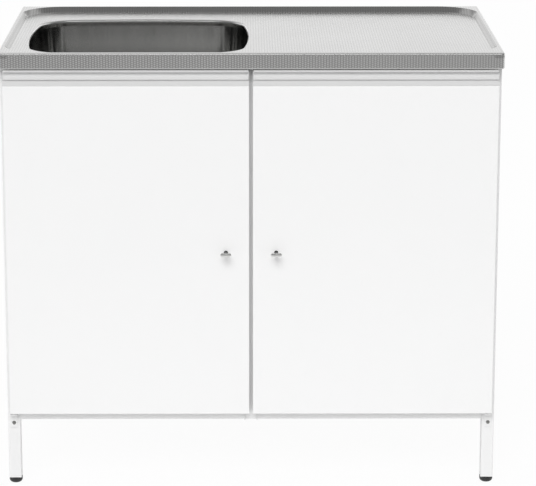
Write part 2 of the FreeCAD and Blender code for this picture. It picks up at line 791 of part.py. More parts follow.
def make_knob():
    """Two-lobed wing on a round stem that runs through the barrel to the tongue."""
    lobe = wing_height / 2
    reach = wing_span / 2 - lobe
    y0 = door_y0 - knob_reach
    e, t = wing_edge, wing_thickness
    outline = [(0, 0), (lobe - e, 0), (lobe - e * 0.3, e * 0.3), (lobe, e),
               (lobe, t - e), (lobe - e * 0.3, t - e * 0.3), (lobe - e, t), (0, t)]
    lobes = [turned(outline, V(x - lock_x, y0, lock_z), BACK) for x in (-reach, reach)]
    bar = block(-reach, reach, y0, y0 + t, -wing_waist / 2, wing_waist / 2)
    bar = bar.makeChamfer(e * 0.6, edges_along(bar, RIGHT))
    bar.translate(V(-lock_x, 0, lock_z))
    end = tongue_y + tongue_plate
    stem = rod(stem_radius, end - y0 - t / 2, V(-lock_x, y0 + t / 2, lock_z), BACK)
    head = rod(rivet_radius, rivet_height, V(-lock_x, end, lock_z), BACK)
    return bar.fuse(lobes + [stem, head]).removeSplitter()


def make_tongue():
    """Flat tongue, hanging down when unlocked; a quarter turn takes it behind the strike plate."""
    half = tongue_width / 2
    y = tongue_y
    tip = tongue_length
    wire = profile_wire([
        V(-half, y, 0), (V(0, y, half), V(half, y, 0)),
        V(half, y, half - tip), (V(0, y, -tip), V(-half, y, half - tip)),
    ])
    solid = Part.Face(wire).extrude(V(0, tongue_plate, 0))
    solid.translate(V(-lock_x, 0, lock_z))
    hole = rod(stem_radius + bush_seat, 3 * tongue_plate, V(-lock_x, y - tongue_plate, lock_z), BACK)
    return solid.cut(hole)


# ---- feet

def make_foot(sx, front):
    y = frame_y0 + tube / 2 if front else frame_y1 - tube / 2
    r, flat = foot_radius, foot_flat
    top = foot_height
    shoulder = top - foot_wall
    k = math.sqrt(0.5)
    curve = V(flat + (r - flat) * k, 0, shoulder * (1 - k))
    wire = profile_wire([
        V(0, 0, 0), V(flat, 0, 0), (curve, V(r, 0, shoulder)), V(r, 0, top), V(stud_radius, 0, top),
        V(stud_radius, 0, top + stud_length), V(0, 0, top + stud_length),
    ])
    solid = Part.Face(wire).revolve(V(0, 0, 0), UP, 360)
    solid.translate(V(sx * leg_x, y, 0))
    return solid


# ---- waste, trap and strainer

def make_waste_flange():
    """Pressed strainer cup: rim on the bowl's seat, cup through the hole, threaded spigot below."""
    z = -cup_depth
    t = cup_wall
    r, k = cup_radius, cup_chamfer
    outline = [(spigot_bore, z - spigot_length), (spigot_radius, z - spigot_length), (spigot_radius, z),
               (r - k, z), (r, z + k), (r, 0), (waste_rim, 0), (waste_rim - t, waste_rim_thickness),
               (r, waste_rim_thickness), (r - t, 0), (r - t, z + k + t), (r - k - t, z + t),
               (spigot_bore, z + t)]
    return turned(outline, V(bowl_x, waste_y, seat_z))


def ring(outer, inner, height_of, z):
    foot = V(bowl_x, waste_y, z)
    return rod(outer, height_of, foot).cut(rod(inner, height_of, foot))


def make_lock_ring():
    """Ring nut under the bowl with six grip lugs."""
    z = gasket_z - ring_height
    solid = ring(cup_radius + ring_width, cup_radius + running_gap, ring_height, z)
    lugs = []
    for i in range(ring_lugs):
        a = 2 * math.pi * i / ring_lugs
        foot = V(bowl_x, waste_y, z) + V(math.cos(a), math.sin(a), 0) * (cup_radius + ring_width)
        lugs.append(rod(ring_lug, ring_height, foot))
    return solid.fuse(lugs).removeSplitter()


def slip_nut(foot, way):
    """Cup nut: web at its foot round the pipe, thread round the spigot beyond it."""
    inner = spigot_radius + slip_gap
    outline = [(pipe_radius + slip_gap, 0), (inner + nut_wall, 0), (inner + nut_wall, nut_height),
               (inner, nut_height), (inner, nut_web), (pipe_radius + slip_gap, nut_web)]
    solid = turned(outline, V(0, 0, 0))
    ribs = []
    for i in range(nut_ribs):
        a = 2 * math.pi * i / nut_ribs
        ribs.append(rod(nut_rib, nut_height, V(math.cos(a), math.sin(a), 0) * (inner + nut_wall)))
    solid = solid.fuse(ribs).removeSplitter()
    solid.Placement = FreeCAD.Placement(foot, FreeCAD.Rotation(UP, way))
    return solid


def make_tailpiece():
    z = spigot_z
    r = pipe_radius
    outline = [(r - pipe_wall, 0), (spigot_radius, 0), (spigot_radius, -pipe_collar),
               (r, -pipe_collar), (r, -tail_length), (r - pipe_wall, -tail_length)]
    return turned(outline, V(bowl_x, waste_y, z))


def make_trap_body():
    """Bottle trap body: neck round the tailpiece, wide bottle, threaded branch to the back."""
    z0 = -trap_neck - trap_height
    t, r, k = trap_wall, trap_radius, trap_chamfer
    neck = pipe_radius + slip_gap
    top = -trap_neck
    outline = [(neck, 0), (spigot_radius, 0), (spigot_radius, top), (r - k, top), (r, top - k), (r, z0),
               (r - t, z0), (r - t, top - k - t), (r - k - t / 2, top - t), (neck, top - t)]
    bottle = turned(outline, V(bowl_x, waste_y, trap_z1))
    start = V(bowl_x, waste_y, branch_z)
    reach = trap_radius + branch_length
    inside = rod(r - t, 2 * trap_radius, start - UP * trap_radius)
    solid = bottle.fuse(rod(spigot_radius, reach, start, BACK).cut(inside))
    bore = rod(pipe_radius - pipe_wall, reach, start, BACK)
    return solid.cut(bore).removeSplitter()


def make_trap_cup():
    """Cup at the trap's foot, with grip ribs, for cleaning out."""
    z0 = shoulder_z - trap_height
    r = trap_radius + slip_gap
    t = trap_wall
    floor, k = -trap_cup_depth, trap_cup_edge
    outline = [(0, floor), (r - k, floor), (r, floor + k), (r + t, floor + 1.5 * k), (r + t, trap_cup_lap),
               (r, trap_cup_lap), (r, 0), (r - t, 0), (r - t, floor + k + t), (r - k - t / 2, floor + t),
               (0, floor + t)]
    solid = turned(outline, V(bowl_x, waste_y, z0))
    foot = V(bowl_x, waste_y, z0 - trap_cup_lap)
    inside = rod(r, 2 * trap_cup_lap, foot)
    ribs = []
    for i in range(trap_cup_ribs):
        a = 2 * math.pi * i / trap_cup_ribs
        place = foot + V(math.cos(a), math.sin(a), 0) * (r + t)
        ribs.append(rod(trap_cup_rib, 2 * trap_cup_lap, place).cut(inside))
    return solid.fuse(ribs).removeSplitter()


def make_outlet():
    y0 = branch_y
    length = y_back - outlet_short_of_wall - y0
    foot = V(bowl_x, y0, branch_z)
    r, stop = pipe_radius, length - outlet_push_in
    outline = [(r - pipe_wall, 0), (spigot_radius, 0), (spigot_radius, pipe_collar), (r, pipe_collar),
               (r, stop - outlet_bead), (r + outlet_bead, stop - outlet_bead), (r + outlet_bead, stop),
               (r, stop), (r, length), (r - pipe_wall, length)]
    return turned(outline, foot, BACK)


def make_slip_nuts():
    return Part.makeCompound([
        slip_nut(V(bowl_x, waste_y, spigot_z - pipe_collar - nut_web), UP),
        slip_nut(V(bowl_x, waste_y, trap_z1 + nut_web), V(0, 0, -1)),
        slip_nut(V(bowl_x, branch_y + pipe_collar + nut_web, branch_z), V(0, -1, 0)),
    ])


def make_basket():
    """Lift-out strainer: a thin cup with a rolled rim, a ring of holes, and a knob on a post."""
    t = basket_wall
    z = -basket_depth
    rf = basket_floor_radius
    rim = basket_radius + basket_rim
    knob, edge, neck = basket_knob_radius, basket_knob_edge, basket_knob_radius
    top = -basket_knob_down
    outline = [(0, z), (rf, z), (basket_radius, 0), (rim, 0), (rim, t), (basket_radius - t, t),
               (rf - t, z + t), (basket_post, z + t), (basket_post, top - neck), (knob, top - 5 * edge),
               (knob, top - edge), (knob - edge, top), (0, top)]
    centre = V(bowl_x, waste_y, basket_z)
    solid = turned(outline, centre)
    holes = []
    for i in range(basket_holes):
        a = 2 * math.pi * i / basket_holes
        foot = centre + V(math.cos(a), math.sin(a), 0) * basket_hole_circle + UP * (z - t)
        holes.append(rod(basket_hole_radius, 3 * t, foot))
    return solid.cut(holes)


def make_plug():
    z = basket_z - basket_depth - plug_height
    r = plug_radius
    outline = [(0, 0), (r - 2, 0), (r, plug_height * 0.4), (r, plug_height), (0, plug_height)]
    return turned(outline, V(bowl_x, waste_y, z))


# ---- all nodes

nodes = {
    "worktop": make_worktop(),
    "bowl": make_bowl(),
    "bowl_pad": make_bowl_pad(),
    "drainer_stiffeners": make_stiffeners(),
    "centre_post": make_post(),
    "floor_pan": make_floor_pan(),
    "tube_inserts": make_inserts(),
    "lower_hinge_brackets": pair(make_bracket(False)),
    "upper_hinge_brackets": pair(make_bracket(True)),
    "bracket_screws": make_screws(),
    "worktop_clips": make_clips(),
    "strike_plate": make_strike(),
    "waste_flange": make_waste_flange(),
    "waste_gasket": ring(cup_radius + ring_width, cup_radius + running_gap, gasket_thickness, gasket_z),
    "waste_lock_ring": make_lock_ring(),
    "tailpiece": make_tailpiece(),
    "slip_nuts": make_slip_nuts(),
    "trap_body": make_trap_body(),
    "trap_cup": make_trap_cup(),
    "outlet_pipe": make_outlet(),
    "strainer_basket": make_basket(),
    "strainer_plug": make_plug(),
}
nodes.update(make_rails())
nodes.update(make_panels())
for place, is_front in (("front", True), ("rear", False)):
    leg = make_leg(is_front)
    nodes["leg_" + place + "_left"] = leg
    nodes["leg_" + place + "_right"] = mirrored(leg)
    nodes["foot_" + place + "_left"] = make_foot(-1, is_front)
    nodes["foot_" + place + "_right"] = make_foot(1, is_front)
door_parts = {
    "door_skin": make_skin(),
    "door_liner": make_liner(),
    "door_grip": make_grip(),
    "door_bushes": make_bushes(),
    "door_bumpers": make_bumpers(),
    "lock_barrel": make_barrel(),
    "lock_nut": make_lock_nut(),
    "lock_knob": make_knob(),
    "lock_tongue": make_tongue(),
}
for name, shape in door_parts.items():
    nodes["left_" + name] = shape
    nodes["right_" + name] = mirrored(shape)

os.makedirs("parts", exist_ok=True)
for name in sorted(nodes):
    nodes[name].exportStep("parts/" + name + ".step")
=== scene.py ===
import math
import bpy
import bmesh
import numpy as np
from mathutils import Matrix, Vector


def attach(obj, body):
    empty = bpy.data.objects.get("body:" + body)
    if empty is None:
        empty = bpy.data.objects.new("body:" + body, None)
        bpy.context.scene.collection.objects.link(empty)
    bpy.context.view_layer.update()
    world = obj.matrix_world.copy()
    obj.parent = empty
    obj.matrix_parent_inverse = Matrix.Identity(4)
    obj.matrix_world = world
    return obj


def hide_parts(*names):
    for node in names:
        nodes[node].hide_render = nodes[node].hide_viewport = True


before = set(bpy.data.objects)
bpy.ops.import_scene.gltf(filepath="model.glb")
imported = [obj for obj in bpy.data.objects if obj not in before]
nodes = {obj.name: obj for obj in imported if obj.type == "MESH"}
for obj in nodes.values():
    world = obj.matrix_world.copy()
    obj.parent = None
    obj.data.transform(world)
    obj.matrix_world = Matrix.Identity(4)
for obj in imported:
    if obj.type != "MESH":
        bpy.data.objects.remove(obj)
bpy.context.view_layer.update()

scene = bpy.context.scene
scene.view_settings.view_transform = "Standard"


# Camera. It stands five metres in front of the unit, at about a person's eye height, and looks down
# on the worktop. Its small shift only sets the unit high and a little left in the frame.
lens = bpy.data.cameras.new("photo_camera")
lens.sensor_fit = "HORIZONTAL"
lens.sensor_width = 36.0
lens.lens = 165.9
lens.shift_x = 0.0241
lens.shift_y = -0.06
camera = bpy.data.objects.new("photo_camera", lens)
camera.location = (-0.01396, -5.0786, 1.7433)
camera.rotation_euler = (math.pi / 2 - 0.2379, 0.0, -0.0046)
scene.collection.objects.link(camera)
scene.camera = camera


# Studio. A wide white floor runs into a white surround, under one large soft lamp in front. Seen only
# in the steel: grey boards for the darker room in front and above, and one bright panel overhead.
class Wire:
    """A socket in a material's node tree. Sums written with it add Math nodes."""

    def __init__(self, tree, socket):
        self.tree = tree
        self.socket = socket

    def node(self, kind, settings=None, sockets=None, out=0):
        """Adds one node: first its settings, then a value or a link for each socket."""
        made = self.tree.nodes.new(kind)
        for name, value in (settings or {}).items():
            if name == "stops":
                ramp = made.color_ramp.elements
                while len(ramp) < len(value):
                    ramp.new(1.0)
                for stop, (place, grey) in zip(ramp, value):
                    stop.position = place
                    stop.color = (grey, grey, grey, 1.0)
            else:
                setattr(made, name, value)
        for name, value in (sockets or {}).items():
            if isinstance(value, Wire):
                self.tree.links.new(value.socket, made.inputs[name])
            else:
                made.inputs[name].default_value = value
        return Wire(self.tree, made.outputs[out])

    def math(self, operation, *others):
        """A Math node with this value as its first."""
        return self.node("ShaderNodeMath", {"operation": operation}, dict(enumerate((self, *others))))

    def __add__(self, other):
        return self.math("ADD", other)

    def __sub__(self, other):
        return self.math("SUBTRACT", other)

    def __rsub__(self, other):
        return self.node("ShaderNodeMath", {"operation": "SUBTRACT"}, {0: other, 1: self})

    def __mul__(self, other):
        return self.math("MULTIPLY", other)

    def __pow__(self, other):
        return self.math("POWER", other)

    def size(self):
        """This value without its sign."""
        return self.math("ABSOLUTE")

    def above(self, limit):
        """1 where this value is over the limit, and 0 elsewhere."""
        return self.math("GREATER_THAN", limit)

    def below(self, limit):
        """1 where this value is under the limit, and 0 elsewhere."""
        return self.math("LESS_THAN", limit)

    def grade(self, start, end):
        """Goes from 0 to 1 as this value goes from start to end, and stays there beyond."""
        return self.node("ShaderNodeMapRange", None, {0: self, 1: start, 2: end})

    def part(self, axis):
        """One coordinate, x, y or z, of a place."""
        return self.node("ShaderNodeSeparateXYZ", None, {0: self}, "XYZ".index(axis))

    def stretched(self, x, y, z):
        """A place with its three coordinates scaled."""
        return self.node("ShaderNodeVectorMath", {"operation": "MULTIPLY"}, {0: self, 1: (x, y, z)})

    def noise(self, scale, detail=2.0, roughness=0.5):
        """Cloudy values from 0 to 1, with features of about 1 / scale metres."""
        return self.node("ShaderNodeTexNoise", None,
                         {"Vector": self, "Scale": scale, "Detail": detail, "Roughness": roughness})

    def colours(self, low, high):
        """Goes from one colour to another as this value goes from 0 to 1."""
        return self.node("ShaderNodeMix", {"data_type": "RGBA"},
                         {0: self, 6: (*low, 1.0), 7: (*high, 1.0)}, 2)

    def relief(self, depth, strength=1.0):
        """Normals of a surface that stands out by this value times depth in metres."""
        return self.node("ShaderNodeBump", None,
                         {"Strength": strength, "Distance": depth, "Height": self})

    def to(self, shader, name):
        self.tree.links.new(self.socket, shader.inputs[name])


def finish(name, **steady):
    """A new material. What is the same all over is set on its shader here. Gives the material, its
    shader and the place on the object."""
    made = bpy.data.materials.new(name)
    made.use_nodes = True
    tree = made.node_tree
    shader = tree.nodes["Principled BSDF"]
    for socket, value in steady.items():
        shader.inputs[socket.replace("_", " ")].default_value = value
    place = tree.nodes.new("ShaderNodeTexCoord").outputs["Object"]
    return made, shader, Wire(tree, place)


def dress(material, *names):
    """Gives CAD nodes a material."""
    for name in names:
        for slot in nodes[name].material_slots:
            slot.material = material


def lamp_white(tree, dim):
    """White where the camera, a mirror or glass looks at it, and dim for the light it gives."""
    rays = tree.nodes.new("ShaderNodeLightPath")
    seen = Wire(tree, rays.outputs["Is Camera Ray"])
    seen = seen.math("MAXIMUM", Wire(tree, rays.outputs["Is Glossy Ray"]))
    seen = seen.math("MAXIMUM", Wire(tree, rays.outputs["Is Transmission Ray"]))
    return seen * (1.0 - dim) + dim


surround = bpy.data.worlds.new("white_surround")
surround.use_nodes = True
scene.world = surround
sky = surround.node_tree
sky.nodes["Background"].inputs["Color"].default_value = (1.0, 1.0, 1.0, 1.0)
sky.links.new(lamp_white(sky, 0.45).socket, sky.nodes["Background"].inputs["Strength"])


def board(name, corner, across, along):
    """A flat board: its first corner, and its two sides from there."""
    corner, across, along = Vector(corner), Vector(across), Vector(along)
    mesh = bpy.data.meshes.new(name)
    mesh.from_pydata([corner, corner + across, corner + across + along, corner + along], [],
                     [(0, 1, 2, 3)])
    made = bpy.data.objects.new(name, mesh)
    scene.collection.objects.link(made)
    return made


floor = board("studio_floor", (-25.0, -25.0, 0.0), (50.0, 0.0, 0.0), (0.0, 50.0, 0.0))
floor_paint, floor_shader, floor_at = finish("studio_floor_paint", Roughness=0.9)
floor_at.noise(2.0).colours((0.955, 0.955, 0.955), (0.965, 0.965, 0.965)).to(
    floor_shader, "Base Color")
floor_tree = floor_paint.node_tree
glow = floor_at.node("ShaderNodeEmission", None, {"Color": (1, 1, 1, 1), "Strength": 1.0})
glow_share = 0.95          # the rest keeps the unit's shadow on the floor
mixed = floor_at.node("ShaderNodeMixShader", None, {
    0: lamp_white(floor_tree, 0.0) * glow_share, 1: Wire(floor_tree, floor_shader.outputs[0]), 2: glow})
floor_tree.links.new(mixed.socket, floor_tree.nodes["Material Output"].inputs["Surface"])
floor.data.materials.append(floor_paint)

for board_name, board_corner, board_across, board_along, board_light in (
        ("front_floor_board", (-8.0, -9.0, 0.01), (16.0, 0.0, 0.0), (0.0, 7.5, 0.0), 0.53),
        ("front_ceiling_board", (-9.0, -9.0, 3.5), (18.0, 0.0, 0.0), (0.0, 10.6, 0.0), 0.20),
        ("rear_ceiling_board", (-9.0, 1.6, 3.5), (18.0, 0.0, 0.0), (0.0, 6.4, 0.0), 0.55),
        ("room_board", (-9.0, -9.0, 0.0), (18.0, 0.0, 0.0), (0.0, 0.0, 3.5), 0.12),
        ("left_board", (-9.0, -9.0, 0.0), (0.0, 9.0, 0.0), (0.0, 0.0, 3.5), 0.05),
        ("right_board", (9.0, -9.0, 0.0), (0.0, 9.0, 0.0), (0.0, 0.0, 3.5), 0.05),
        ("front_panel", (-1.6, -3.9, 3.4), (3.2, 0.0, 0.0), (0.0, 1.3, 0.0), 2.2)):
    mirrored = board(board_name, board_corner, board_across, board_along)
    board_paint, board_shader, board_at = finish(board_name + "_paint", Roughness=0.9)
    board_glow = board_at.node("ShaderNodeEmission", None, {
        "Color": (board_light, board_light, board_light, 1.0), "Strength": 1.0})
    board_tree = board_paint.node_tree
    board_tree.links.new(board_glow.socket, board_tree.nodes["Material Output"].inputs["Surface"])
    mirrored.data.materials.append(board_paint)
    mirrored.visible_camera = False
    mirrored.visible_diffuse = False
    mirrored.visible_shadow = False
    mirrored.visible_transmission = False

lamp = bpy.data.lights.new("soft_lamp", "SUN")
lamp.energy = 1.72
lamp.angle = 0.6
soft_lamp = bpy.data.objects.new("soft_lamp", lamp)
lamp_way = Vector((0.10, 0.73, -0.67))
soft_lamp.rotation_euler = lamp_way.to_track_quat("-Z", "Y").to_euler()
scene.collection.objects.link(soft_lamp)
soft_lamp.visible_glossy = False


# Frame. Square steel tube, 25 mm, welded and powder-coated white: four legs, a centre post, and
# rails round the top and under the cabinet. Folded side panels, a back and a floor pan close it.
frame_paint, frame_shader, frame_at = finish("white_frame_coat", Roughness=0.42, Coat_Weight=0.15)
frame_at.noise(3.0, 1.0).colours((0.86, 0.86, 0.86), (0.885, 0.885, 0.885)).to(
    frame_shader, "Base Color")
frame_at.noise(620.0, 2.0).relief(0.00008, 0.5).to(frame_shader, "Normal")
dress(frame_paint, "leg_front_left", "leg_front_right", "leg_rear_left", "leg_rear_right", "centre_post",
      "bottom_rail_front_left", "bottom_rail_front_right", "bottom_rail_left", "bottom_rail_right",
      "bottom_rail_rear", "top_rail_front", "top_rail_left", "top_rail_right", "top_rail_rear",
      "side_panel_left", "side_panel_right", "back_panel", "floor_pan")


def add_piece(name, body, material, meshes):
    """One object from closed grids. Each grid is an array of places, rows by columns by 3, whose
    columns close on themselves. Its first and last rows are closed with a fan, its equal places
    are merged, and its faces are turned outwards."""
    grid = bmesh.new()
    for rows in meshes:
        high, wide, _ = rows.shape
        index = np.arange(high * wide).reshape(high, wide)
        beside = np.roll(index, -1, axis=1)
        quads = np.stack([index[:-1], beside[:-1], beside[1:], index[1:]], axis=-1).reshape(-1, 4)
        shell = bpy.data.meshes.new("shell")
        shell.from_pydata(rows.reshape(-1, 3).tolist(), [], quads.tolist() + [
            index[0, ::-1].tolist(), index[-1].tolist()])
        grid.from_mesh(shell)
        bpy.data.meshes.remove(shell)
    bmesh.ops.remove_doubles(grid, verts=grid.verts, dist=1e-6)
    bmesh.ops.dissolve_degenerate(grid, edges=grid.edges, dist=1e-7)
    bmesh.ops.recalc_face_normals(grid, faces=grid.faces)
    mesh = bpy.data.meshes.new(name)
    grid.to_mesh(mesh)
    grid.free()
    mesh.shade_smooth()
    mesh.set_sharp_from_angle(angle=math.radians(38))
    mesh.materials.append(material)
    made = bpy.data.objects.new(name, mesh)
    scene.collection.objects.link(made)
    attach(made, body)
    return made


def weld_bead(start, end, radius):
    """A weld bead along an inside corner: a round bar whose radius swells and shrinks a little every
    2.2 mm along its length, like laid-on drops, and falls to nothing at both ends."""
    drop_pitch, row_step = 0.0022, 0.0005
    start, end = np.array(start), np.array(end)
    length = np.linalg.norm(end - start)
    along = (end - start) / length
    side = np.cross(along, (0.31, 0.87, 0.38))
    side /= np.linalg.norm(side)
    other = np.cross(along, side)
    u = np.linspace(0.0, 1.0, max(int(length / row_step), 8))[:, None, None]
    turn = np.linspace(0.0, 2 * np.pi, 14, endpoint=False)[None, :, None]
    swell = 1.0 + 0.10 * np.abs(np.sin(np.pi * u * length / drop_pitch))
    round_off = np.sqrt(np.clip(1.0 - np.abs(2 * u - 1) ** 12, 0.0, 1.0))
    r = radius * swell * round_off
    return start + u * length * along + r * (np.cos(turn) * side + np.sin(turn) * other)


under_z, rail_low_z, rail_high_z = 0.138, 0.1385, 0.1625
front_inside_y, rear_inside_y = -0.246, 0.2885
bead_lines = []
for side_x in (-1, 1):
    leg_in = side_x * 0.472
    post_out = side_x * 0.0125
    for joint_x in (leg_in, post_out):
        bead_lines.append(((joint_x, -0.2655, under_z), (joint_x, -0.2465, under_z)))
        bead_lines.append(((joint_x, front_inside_y, rail_low_z), (joint_x, front_inside_y, rail_high_z)))
    bead_lines.append(((leg_in, front_inside_y, 0.8645), (leg_in, front_inside_y, 0.8885)))
    bead_lines.append(((leg_in, 0.289, under_z), (leg_in, 0.308, under_z)))
    bead_lines.append(((leg_in, rear_inside_y, rail_low_z), (leg_in, rear_inside_y, rail_high_z)))
    for joint_y in (-0.241, 0.2835):
        bead_lines.append(((side_x * 0.4775, joint_y, under_z), (side_x * 0.4965, joint_y, under_z)))
bead_radius = 0.0021
add_piece("frame_weld_beads", "cabinet", frame_paint,
          [weld_bead(start, end, bead_radius) for start, end in bead_lines])


# Feet. Black moulded feet on M8 studs, screwed into white plastic inserts that are driven into the
# tube ends and hold by small snap lugs.
black, black_shader, black_at = finish("black_moulded_plastic", Roughness=0.42)
black_at.noise(90.0, 2.0).colours((0.016, 0.016, 0.017), (0.024, 0.024, 0.025)).to(
    black_shader, "Base Color")
black_at.noise(1500.0, 1.0).relief(0.00004, 0.5).to(black_shader, "Normal")
(black_at.noise(35.0) * 0.14 + 0.36).to(black_shader, "Roughness")
dress(black, "foot_front_left", "foot_front_right", "foot_rear_left", "foot_rear_right")

nylon, nylon_shader, nylon_at = finish("white_plastic", Roughness=0.36)
nylon_at.noise(25.0, 2.0).colours((0.90, 0.90, 0.895), (0.93, 0.93, 0.925)).to(
    nylon_shader, "Base Color")
nylon_at.noise(900.0, 1.0).relief(0.00004, 0.4).to(nylon_shader, "Normal")
dress(nylon, "tube_inserts")


# Worktop. Stainless sheet pressed with a fine linen emboss: a raised rim, a pan sunk 10 mm, a rolled
# edge round the bowl and a front lip that is folded back underneath. Its base colour carries painted
# light: painted highlights on the bends and the roll, and painted shade on the flat rim behind the front
# bend, the collar below the roll, the side slopes and the emboss's hollows.
woven, woven_shader, woven_at = finish("embossed_stainless", Metallic=1.0)
bowl_x, bowl_y = -0.230, -0.0195
column_width, pad_pitch = 0.0055, 0.0041
weft = woven_at.part("X") * (1.0 / column_width)
height = woven_at.part("Z")
stagger = weft.math("FLOOR").math("FLOORED_MODULO", 2.0) * 0.5
warp = (woven_at.part("Y") + height) * (1.0 / pad_pitch) + stagger
across_thread = (weft * math.pi).math("SINE").size() ** 0.7
pads = (warp * (2.0 * math.pi)).math("COSINE") * 0.5 + 0.5
cloth = across_thread * (pads * 0.5 + 0.5)
cloth_middle = 0.54

bend_y, rim_end_y = -0.2868, -0.2757
rim_z, slope_top_z, slope_foot_z, pan_z, lip_foot_z = 0.8964, 0.8994, 0.8904, 0.8896, 0.8706
slope_x, bowl_half_x, bowl_half_y = 0.4800, 0.2255, 0.2075
front_bend = woven_at.part("Y").below(bend_y)
front_rim = woven_at.part("Y").below(rim_end_y) * height.above(rim_z)
low_bend = height.below(lip_foot_z) * front_bend
collar = height.below(pan_z) * (woven_at.part("X") - bowl_x).size().below(bowl_half_x)
collar = collar * (woven_at.part("Y") - bowl_y).size().below(bowl_half_y)
rolled = height.grade(0.8820, 0.8862)
side_slope = woven_at.part("X").size().above(slope_x)
side_slope = side_slope * height.below(slope_top_z) * height.above(slope_foot_z)
plain = (front_rim + low_bend + collar).math("MINIMUM", 1.0)

pressed = (cloth + woven_at.noise(900.0, 1.0) * 0.1) * (1.0 - plain)
pressed.relief(0.00016, 0.35).to(woven_shader, "Normal")
# Random blotches of tone, plus painted shade of the emboss: its hollows are darker and its raised pads
# lighter, more so on the front lip.
blotches_and_emboss_shade = woven_at.noise(7.0, 3.0) * 0.16 + (cloth - cloth_middle) * (front_bend * 0.40 + 0.32) + 0.335
# Painted light on the plain bands: the front bend, the bend under the lip and the roll keep a bright base
# colour as painted highlights; the flat rim behind the front bend and the collar below the roll are
# darkened as painted shade.
painted_bend_highlight_and_shade = 1.0 - front_rim * (1.0 - front_bend) - collar * (1.0 - rolled) * 0.5
# Painted shade: the side slopes of the rim are darkened.
tone = (blotches_and_emboss_shade - side_slope * 0.34) * (1.0 - plain) + plain * painted_bend_highlight_and_shade
tone.colours((0.41, 0.408, 0.403), (0.95, 0.948, 0.940)).to(woven_shader, "Base Color")
dull = collar * rolled * 0.16 - plain * 0.07
(woven_at.noise(14.0, 3.0) * 0.06 + 0.17 + dull).to(woven_shader, "Roughness")
dress(woven, "worktop")


# Bowl. Deep-drawn from plain stainless sheet and welded under the worktop's rolled edge. Its walls
# keep the faint upright lines of drawing. Its base colour is dark as painted shade: darkest high on the
# walls and towards its left end, lighter low down. A black pad damps the sound.
drawn, drawn_shader, drawn_at = finish("drawn_stainless", Metallic=1.0)
draw_lines = drawn_at.stretched(240.0, 240.0, 5.0).noise(1.0, 3.0)
broad_lines = drawn_at.stretched(42.0, 42.0, 1.5).noise(1.0, 2.0)
# Painted shade: 0 high on the walls, where the base colour is darkest, rising to 1 low down, where it is
# lighter.
out_of_painted_shade = drawn_at.part("Z").grade(0.862, 0.795)
steel = (draw_lines * 0.4 + broad_lines * 0.6) * (0.34 - out_of_painted_shade * 0.22) + 0.20 + out_of_painted_shade * 0.36
# Painted shade: the base colour darkens towards the bowl's left end.
steel = steel * (drawn_at.part("X") * 0.6 + 1.12)
steel.colours((0.0, 0.0, 0.0), (1.0, 1.0, 0.985)).to(drawn_shader, "Base Color")
(draw_lines * 0.06 + broad_lines * 0.06 + 0.06).to(drawn_shader, "Roughness")
draw_lines.relief(0.00002, 0.4).to(drawn_shader, "Normal")
dress(drawn, "bowl")

rubber, rubber_shader, rubber_at = finish("black_rubber_pad", Roughness=0.75)
rubber_at.noise(60.0, 3.0).colours((0.018, 0.018, 0.018), (0.034, 0.034, 0.034)).to(
    rubber_shader, "Base Color")
rubber_at.noise(500.0, 2.0).relief(0.0002, 0.5).to(rubber_shader, "Normal")
dress(rubber, "bowl_pad", "waste_gasket")

zinc, zinc_shader, zinc_at = finish("galvanised_sheet", Metallic=1.0)
spangle = zinc_at.node(
    "ShaderNodeTexVoronoi", {"feature": "F1"}, {"Vector": zinc_at, "Scale": 160.0}, 1)
spangle = spangle.node("ShaderNodeSeparateColor", None, {0: spangle})
spangle.colours((0.50, 0.51, 0.52), (0.64, 0.65, 0.66)).to(zinc_shader, "Base Color")
(spangle * 0.16 + 0.34).to(zinc_shader, "Roughness")
(spangle + zinc_at.noise(700.0) * 0.6).relief(0.00003, 0.4).to(zinc_shader, "Normal")
dress(zinc, "drainer_stiffeners", "worktop_clips", "strike_plate")


# Waste and trap. A polished steel waste with a lift-out strainer basket, held by a plastic ring and a
# gasket; below it a white plastic bottle trap with slip nuts and a pipe to the wall.
bright, bright_shader, bright_at = finish("polished_stainless_waste", Metallic=1.0)
waste_y, ring_rate = 0.0305, 5200.0
turn_x = bright_at.part("X") - bowl_x
turn_y = bright_at.part("Y") - waste_y
from_axis = (turn_x * turn_x + turn_y * turn_y) ** 0.5
rings = (from_axis * ring_rate).math("SINE") * 0.5 + 0.5
bright_at.noise(40.0, 3.0).colours((0.66, 0.66, 0.655), (0.74, 0.74, 0.735)).to(
    bright_shader, "Base Color")
(rings * 0.05 + bright_at.noise(60.0, 3.0) * 0.10 + 0.10).to(bright_shader, "Roughness")
rings.relief(0.00001, 0.4).to(bright_shader, "Normal")
dress(bright, "waste_flange", "strainer_basket")
dress(rubber, "strainer_plug")

dress(nylon, "waste_lock_ring", "tailpiece", "slip_nuts", "trap_body", "trap_cup", "outlet_pipe")


# Doors. Each is a folded tray of white-coated sheet with a liner inside, a pale moulded grip strip
# clipped along its top, plastic bushes for the hinge pins and clear bumpers.
door_paint, door_shader, door_at = finish("white_door_coat", Roughness=0.30)
door_at.noise(2.2, 2.0).colours((0.900, 0.900, 0.900), (0.915, 0.915, 0.915)).to(
    door_shader, "Base Color")
door_at.noise(330.0, 2.0).relief(0.00005, 0.45).to(door_shader, "Normal")
dress(door_paint, "left_door_skin", "right_door_skin", "left_door_liner", "right_door_liner")

strip, strip_shader, strip_at = finish("pale_grip_strip", Roughness=0.38)
drawn_out = strip_at.stretched(3.0, 1500.0, 1500.0).noise(1.0, 2.0)
drawn_out.colours((0.675, 0.675, 0.675), (0.705, 0.705, 0.705)).to(strip_shader, "Base Color")
drawn_out.relief(0.00003, 0.5).to(strip_shader, "Normal")
dress(strip, "left_door_grip", "right_door_grip")
dress(nylon, "left_door_bushes", "right_door_bushes")

